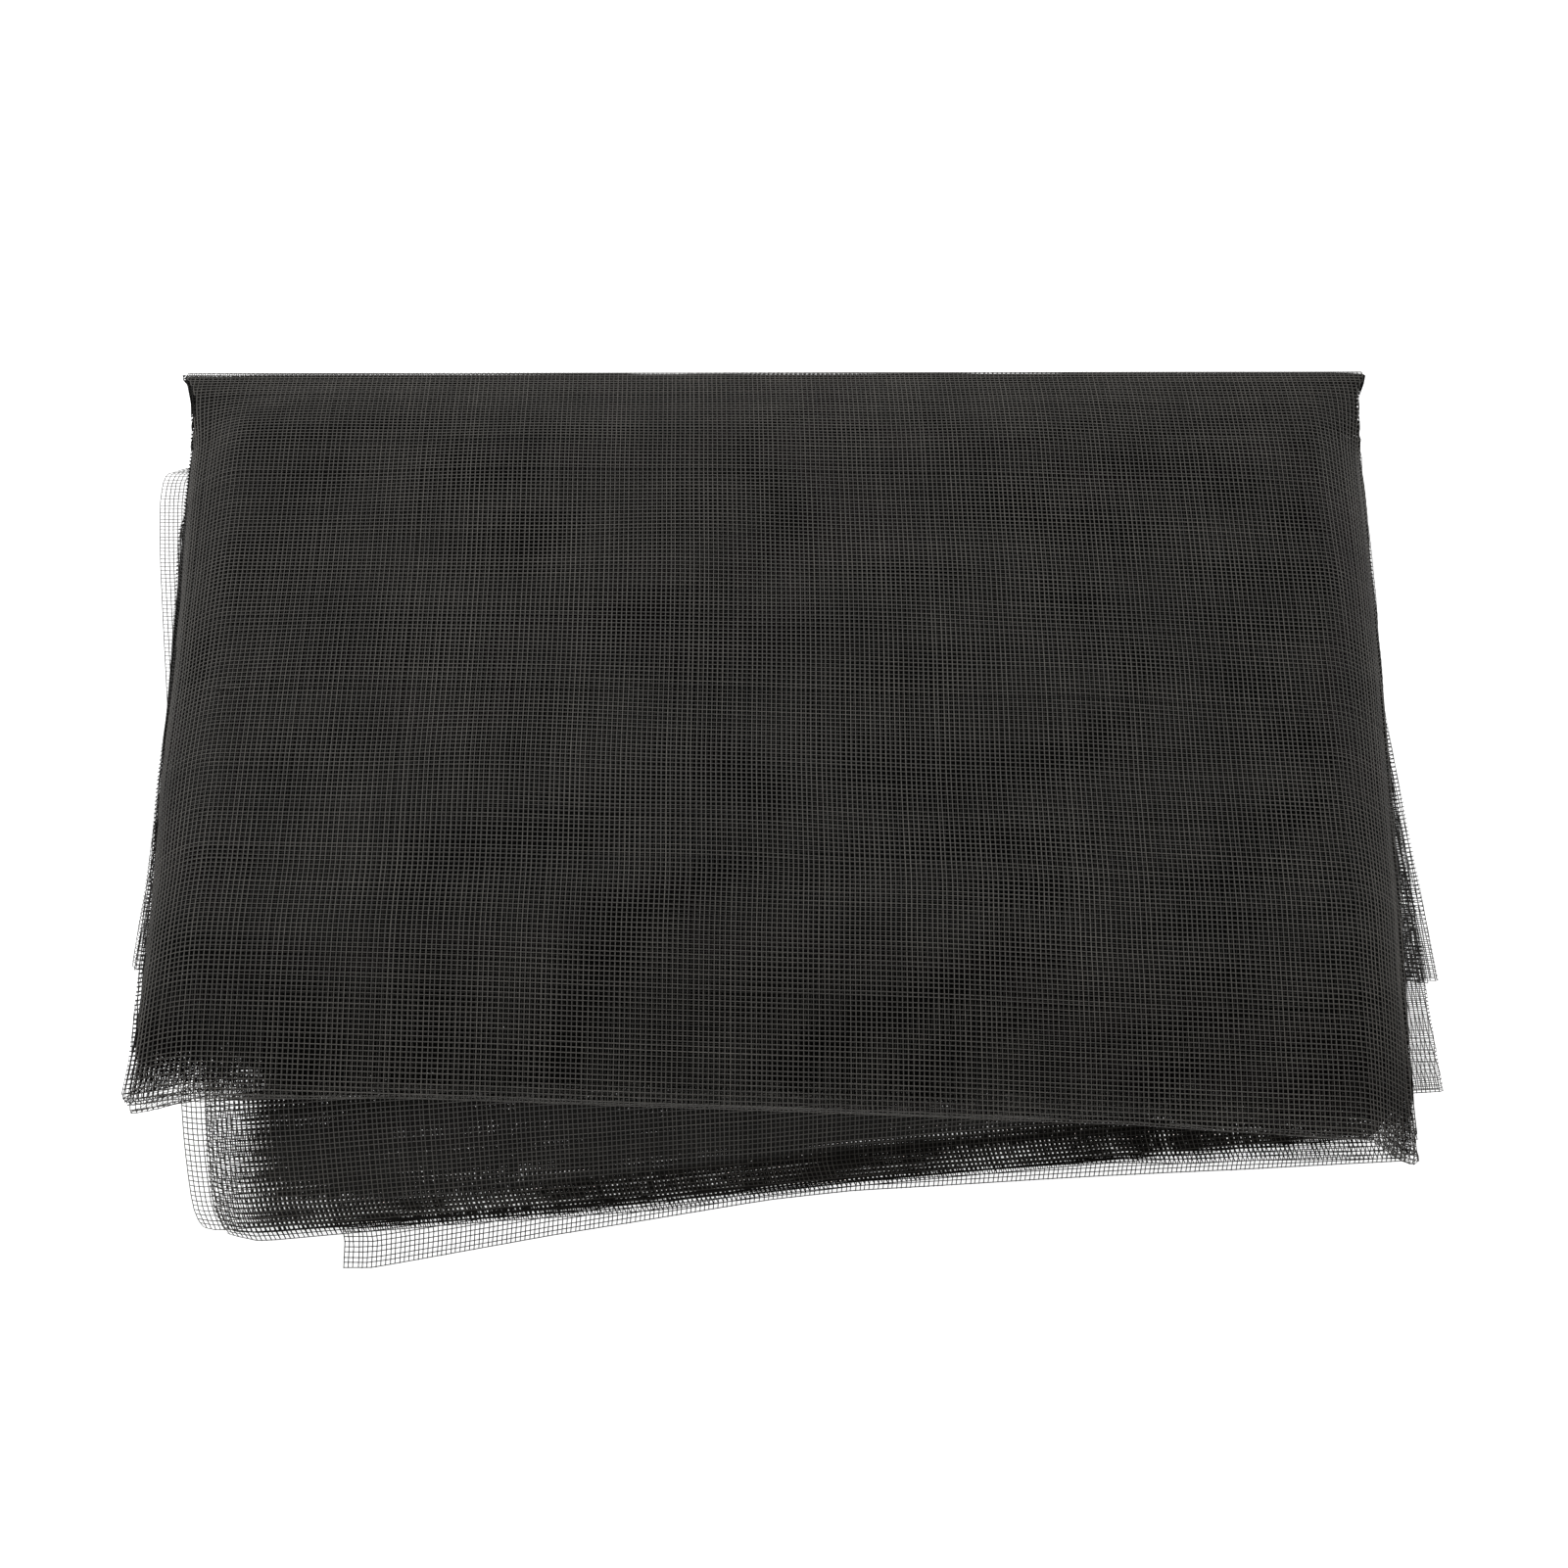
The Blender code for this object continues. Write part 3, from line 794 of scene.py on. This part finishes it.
def link(name, data):
    drop(name)
    piece = bpy.data.objects.new(name, data)
    bpy.context.scene.collection.objects.link(piece)
    return piece


def node(tree, kind, **values):
    made = tree.nodes.new(kind)
    for key, value in values.items():
        if key in made.inputs:
            made.inputs[key].default_value = value
        else:
            setattr(made, key, value)
    return made


def thread_material(finish, look):
    """Coated black thread: a faint gloss, slow changes of tone and gloss along the cloth, and painted
    shade: colour and gloss scaled down for plies that lie under others.
    """
    name = f"{finish}_thread"
    old = bpy.data.materials.get(name)
    if old is not None:
        return old
    # Painted shade: plies under the outer one get their colour and gloss scaled down by look.middle or
    # look.inner, in place of the light that the plies over them block.
    depth = {"outer": 1, "middle": look.middle, "inner": look.inner}[finish]
    material = bpy.data.materials.new(name)
    material.use_nodes = True
    tree = material.node_tree
    shader = tree.nodes["Principled BSDF"]
    shader.inputs["Metallic"].default_value = 0
    shader.inputs["Specular IOR Level"].default_value = look.gloss * depth
    place = node(tree, "ShaderNodeTexCoord")
    cloudy = node(tree, "ShaderNodeTexNoise", Scale=38.0, Detail=3.0, Roughness=0.55)
    fine = node(tree, "ShaderNodeTexNoise", Scale=900.0, Detail=2.0, Roughness=0.6)
    tree.links.new(place.outputs["Object"], cloudy.inputs["Vector"])
    tree.links.new(place.outputs["Object"], fine.inputs["Vector"])
    both = node(tree, "ShaderNodeMath", operation="MULTIPLY")
    tree.links.new(cloudy.outputs["Fac"], both.inputs[0])
    tree.links.new(fine.outputs["Fac"], both.inputs[1])
    tone = node(tree, "ShaderNodeValToRGB")
    tone.color_ramp.elements[0].position = 0.12
    tone.color_ramp.elements[0].color = tuple(0.72 * depth * c for c in look.colour) + (1,)
    tone.color_ramp.elements[1].position = 0.40
    tone.color_ramp.elements[1].color = tuple(1.3 * depth * c for c in look.colour) + (1,)
    tree.links.new(both.outputs["Value"], tone.inputs["Fac"])
    streak = node(tree, "ShaderNodeAttribute", attribute_name="tone")
    level = node(tree, "ShaderNodeMath", operation="MULTIPLY_ADD", use_clamp=False)
    level.inputs[1].default_value = look.streaks
    level.inputs[2].default_value = 1
    tree.links.new(streak.outputs["Fac"], level.inputs[0])
    coat = node(tree, "ShaderNodeVectorMath", operation="SCALE")
    tree.links.new(tone.outputs["Color"], coat.inputs[0])
    tree.links.new(level.outputs["Value"], coat.inputs["Scale"])
    tree.links.new(coat.outputs["Vector"], shader.inputs["Base Color"])
    rough = node(tree, "ShaderNodeMapRange")
    rough.inputs["From Min"].default_value = 0.3
    rough.inputs["From Max"].default_value = 0.7
    rough.inputs["To Min"].default_value = look.roughness - 0.08
    rough.inputs["To Max"].default_value = look.roughness + 0.08
    tree.links.new(fine.outputs["Fac"], rough.inputs["Value"])
    tree.links.new(rough.outputs["Result"], shader.inputs["Roughness"])
    return material


class ScreenPack(bpy.types.PropertyGroup):
    """How high the folded pack stands."""

    front_left: FloatProperty(
        name="Front left", description="Height at the front left corner", default=0.077, unit="LENGTH"
    )
    front_right: FloatProperty(
        name="Front right", description="Height at the front right corner", default=0.049, unit="LENGTH"
    )
    back_left: FloatProperty(
        name="Back left", description="Height at the back left corner", default=0.060, unit="LENGTH"
    )
    back_right: FloatProperty(
        name="Back right", description="Height at the back right corner", default=0.065, unit="LENGTH"
    )
    puff: FloatProperty(
        name="Puff", description="How much the middle stands up", default=0.006, unit="LENGTH"
    )


class ScreenThreads(bpy.types.PropertyGroup):
    """The net's threads."""

    pitch: FloatProperty(
        name="Mesh", description="From one thread to the next", default=0.0015, unit="LENGTH"
    )
    width: FloatProperty(
        name="Thread", description="Width of a thread", default=0.00028, unit="LENGTH"
    )
    relief: FloatProperty(
        name="Relief", description="How far threads rise where they cross", default=0.00009, unit="LENGTH"
    )
    jitter: FloatProperty(
        name="Unevenness", description="How far threads stray from even", default=0.00008, unit="LENGTH"
    )
    colour: FloatVectorProperty(
        name="Colour", description="Of the coating", default=(0.0300, 0.0280, 0.0250), subtype="COLOR"
    )
    roughness: FloatProperty(
        name="Roughness", description="Of the coating", default=0.5, subtype="FACTOR"
    )
    gloss: FloatProperty(
        name="Gloss", description="Strength of the coating's highlights", default=0.23, subtype="FACTOR"
    )
    streaks: FloatProperty(
        name="Streaks", description="How much the tone changes from thread to thread", default=0.22
    )
    # Painted shade: the inmost plies' threads are drawn this many widths wide, so that the inside of the
    # pack shows dark.
    shade_fullness: FloatProperty(
        name="Fullness", description="Width of the inmost plies' threads, in widths", default=2.6
    )
    # Painted shade: the colour and gloss of the plies under the outer one, and of those inside the pack,
    # are scaled by these shares.
    middle: FloatProperty(
        name="Second tone", description="Tone of the plies under the outer one, as a share", default=0.26
    )
    inner: FloatProperty(
        name="Inner tone", description="Tone of the plies inside the pack, as a share", default=0.06
    )


class ScreenStage(bpy.types.PropertyGroup):
    """Floor, light and camera."""

    floor_colour: FloatVectorProperty(
        name="Floor", description="Colour of the floor", default=(0.4, 0.4, 0.4), subtype="COLOR"
    )
    floor_light: FloatProperty(
        name="Floor light", description="How much the floor shines of itself", default=0.76
    )
    sky: FloatProperty(
        name="Fill", description="Strength of the light from all round", default=0.92
    )
    back_lamp: FloatProperty(
        name="Back lamp", description="Power of the lamp above the back", default=16.5, unit="POWER"
    )
    front_lamp: FloatProperty(
        name="Front lamp", description="Power of the lamp in front", default=8.0, unit="POWER"
    )
    side_lamps: FloatProperty(
        name="Side lamps", description="Power of each of the lamps at the sides", default=13.0, unit="POWER"
    )
    lens: FloatProperty(
        name="Lens", description="Focal length in mm on a 36 mm sensor", default=59.6
    )


CAMERA = (0, -435, 726.7)  # in the sizes of the tables above
CAMERA_TILT = 31.5  # from straight down


class SCREEN_OT_net(bpy.types.Operator):
    """Lay the threads of one part of the folded net"""

    bl_idname = "screen.net"
    bl_label = "Lay the net"

    part: EnumProperty(
        name="Part",
        description="Which part of the pack",
        items=[(piece.name, piece.name.replace("_", " "), "") for piece in PIECES],
    )

    def execute(self, context):
        look = context.scene.screen_threads
        piece = next(piece for piece in PIECES if piece.name == self.part)
        cloth = laid_cloth(look.pitch / MM, look.jitter / MM)
        chosen = chosen_crossings(cloth, piece)
        if not chosen.any():
            raise RuntimeError(f"{piece.name} has no threads")
        net = link(piece.name, net_mesh(piece.name, cloth, chosen, piece.every, look))
        net.data.materials.append(thread_material(piece.finish, look))
        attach(net, "root")
        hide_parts("folded_net")
        pitch = look.pitch
        thread_share = 2 * look.width / pitch * shade_breadths(cloth, look)[chosen].mean()
        if piece.every == 1:
            thread_share *= RIDGE_AREA
        return {"FINISHED"}


class SCREEN_OT_stage(bpy.types.Operator):
    """Set the floor, the light and the camera"""

    bl_idname = "screen.stage"
    bl_label = "Set the stage"

    def execute(self, context):
        stage = context.scene.screen_stage
        bpy.ops.object.select_all(action="DESELECT")
        drop("floor")
        bpy.ops.mesh.primitive_plane_add(size=12, location=(0, 0, 0))
        floor = context.object
        floor.name = "floor"
        bpy.ops.object.transform_apply(location=True, rotation=True, scale=True)
        material = bpy.data.materials.new("plain_floor")
        material.use_nodes = True
        shader = material.node_tree.nodes["Principled BSDF"]
        shader.inputs["Base Color"].default_value = tuple(stage.floor_colour) + (1,)
        shader.inputs["Roughness"].default_value = 0.9
        shader.inputs["Specular IOR Level"].default_value = 0.1
        shader.inputs["Emission Color"].default_value = (1, 1, 1, 1)
        shader.inputs["Emission Strength"].default_value = stage.floor_light
        floor.data.materials.append(material)
        world = bpy.data.worlds.new("studio")
        world.use_nodes = True
        background = world.node_tree.nodes["Background"]
        background.inputs["Color"].default_value = (1, 1, 1, 1)
        background.inputs["Strength"].default_value = stage.sky
        context.scene.world = world
        for name, power, size, place, turn in (
            ("back_lamp", stage.back_lamp, (1.6, 1.0), (-0.35, 0.55, 1.5), (-20, -13, 0)),
            ("front_lamp", stage.front_lamp, (1.6, 1.0), (0, -1.1, 1.2), (42, 0, 0)),
            ("left_lamp", stage.side_lamps, (0.9, 0.7), (-1.1, 0.8, 0.9), (56, 0, -126)),
            ("right_lamp", stage.side_lamps, (0.9, 0.7), (1.1, 0.8, 0.9), (56, 0, 126)),
        ):
            data = bpy.data.lights.new(name, "AREA")
            data.shape = "RECTANGLE"
            data.size, data.size_y = size
            data.energy = power
            lamp = link(name, data)
            lamp.location = place
            lamp.rotation_euler = [math.radians(angle) for angle in turn]
        drop("camera")
        data = bpy.data.cameras.new("camera")
        data.sensor_width = 36
        data.lens = stage.lens
        data.clip_start, data.clip_end = 0.01, 50
        camera = bpy.data.objects.new("camera", data)
        place = (CAMERA[0] - CENTRE[0], CAMERA[1] - CENTRE[1], CAMERA[2])
        camera.location = [size * MM for size in place]
        camera.rotation_euler = (math.radians(CAMERA_TILT), 0, 0)
        context.scene.collection.objects.link(camera)
        context.scene.camera = camera
        context.scene.view_settings.view_transform = "Standard"
        return {"FINISHED"}


class SCREEN_PT_panel(bpy.types.Panel):
    """Sizes and steps of the folded screen"""

    bl_idname = "SCREEN_PT_panel"
    bl_label = "Insect screen"
    bl_space_type = "VIEW_3D"
    bl_region_type = "UI"
    bl_category = "Insect screen"

    def draw(self, context):
        scene = context.scene
        for group in (scene.screen_pack, scene.screen_threads, scene.screen_stage):
            box = self.layout.box()
            for name in group.bl_rna.properties.keys():
                if name not in ("rna_type", "name"):
                    box.prop(group, name)
        for piece in PIECES:
            self.layout.operator("screen.net", text=piece.name.replace("_", " ")).part = piece.name
        self.layout.operator("screen.stage")


CLASSES = (ScreenPack, ScreenThreads, ScreenStage, SCREEN_OT_net, SCREEN_OT_stage, SCREEN_PT_panel)


def register():
    for cls in CLASSES:
        bpy.utils.register_class(cls)
    bpy.types.Scene.screen_pack = PointerProperty(type=ScreenPack)
    bpy.types.Scene.screen_threads = PointerProperty(type=ScreenThreads)
    bpy.types.Scene.screen_stage = PointerProperty(type=ScreenStage)


def unregister():
    del bpy.types.Scene.screen_stage
    del bpy.types.Scene.screen_threads
    del bpy.types.Scene.screen_pack
    for cls in reversed(CLASSES):
        bpy.utils.unregister_class(cls)


def main():
    register()
    bpy.ops.screen.stage()
    for piece in PIECES:
        bpy.ops.screen.net(part=piece.name)


if __name__ == "__main__":
    main()
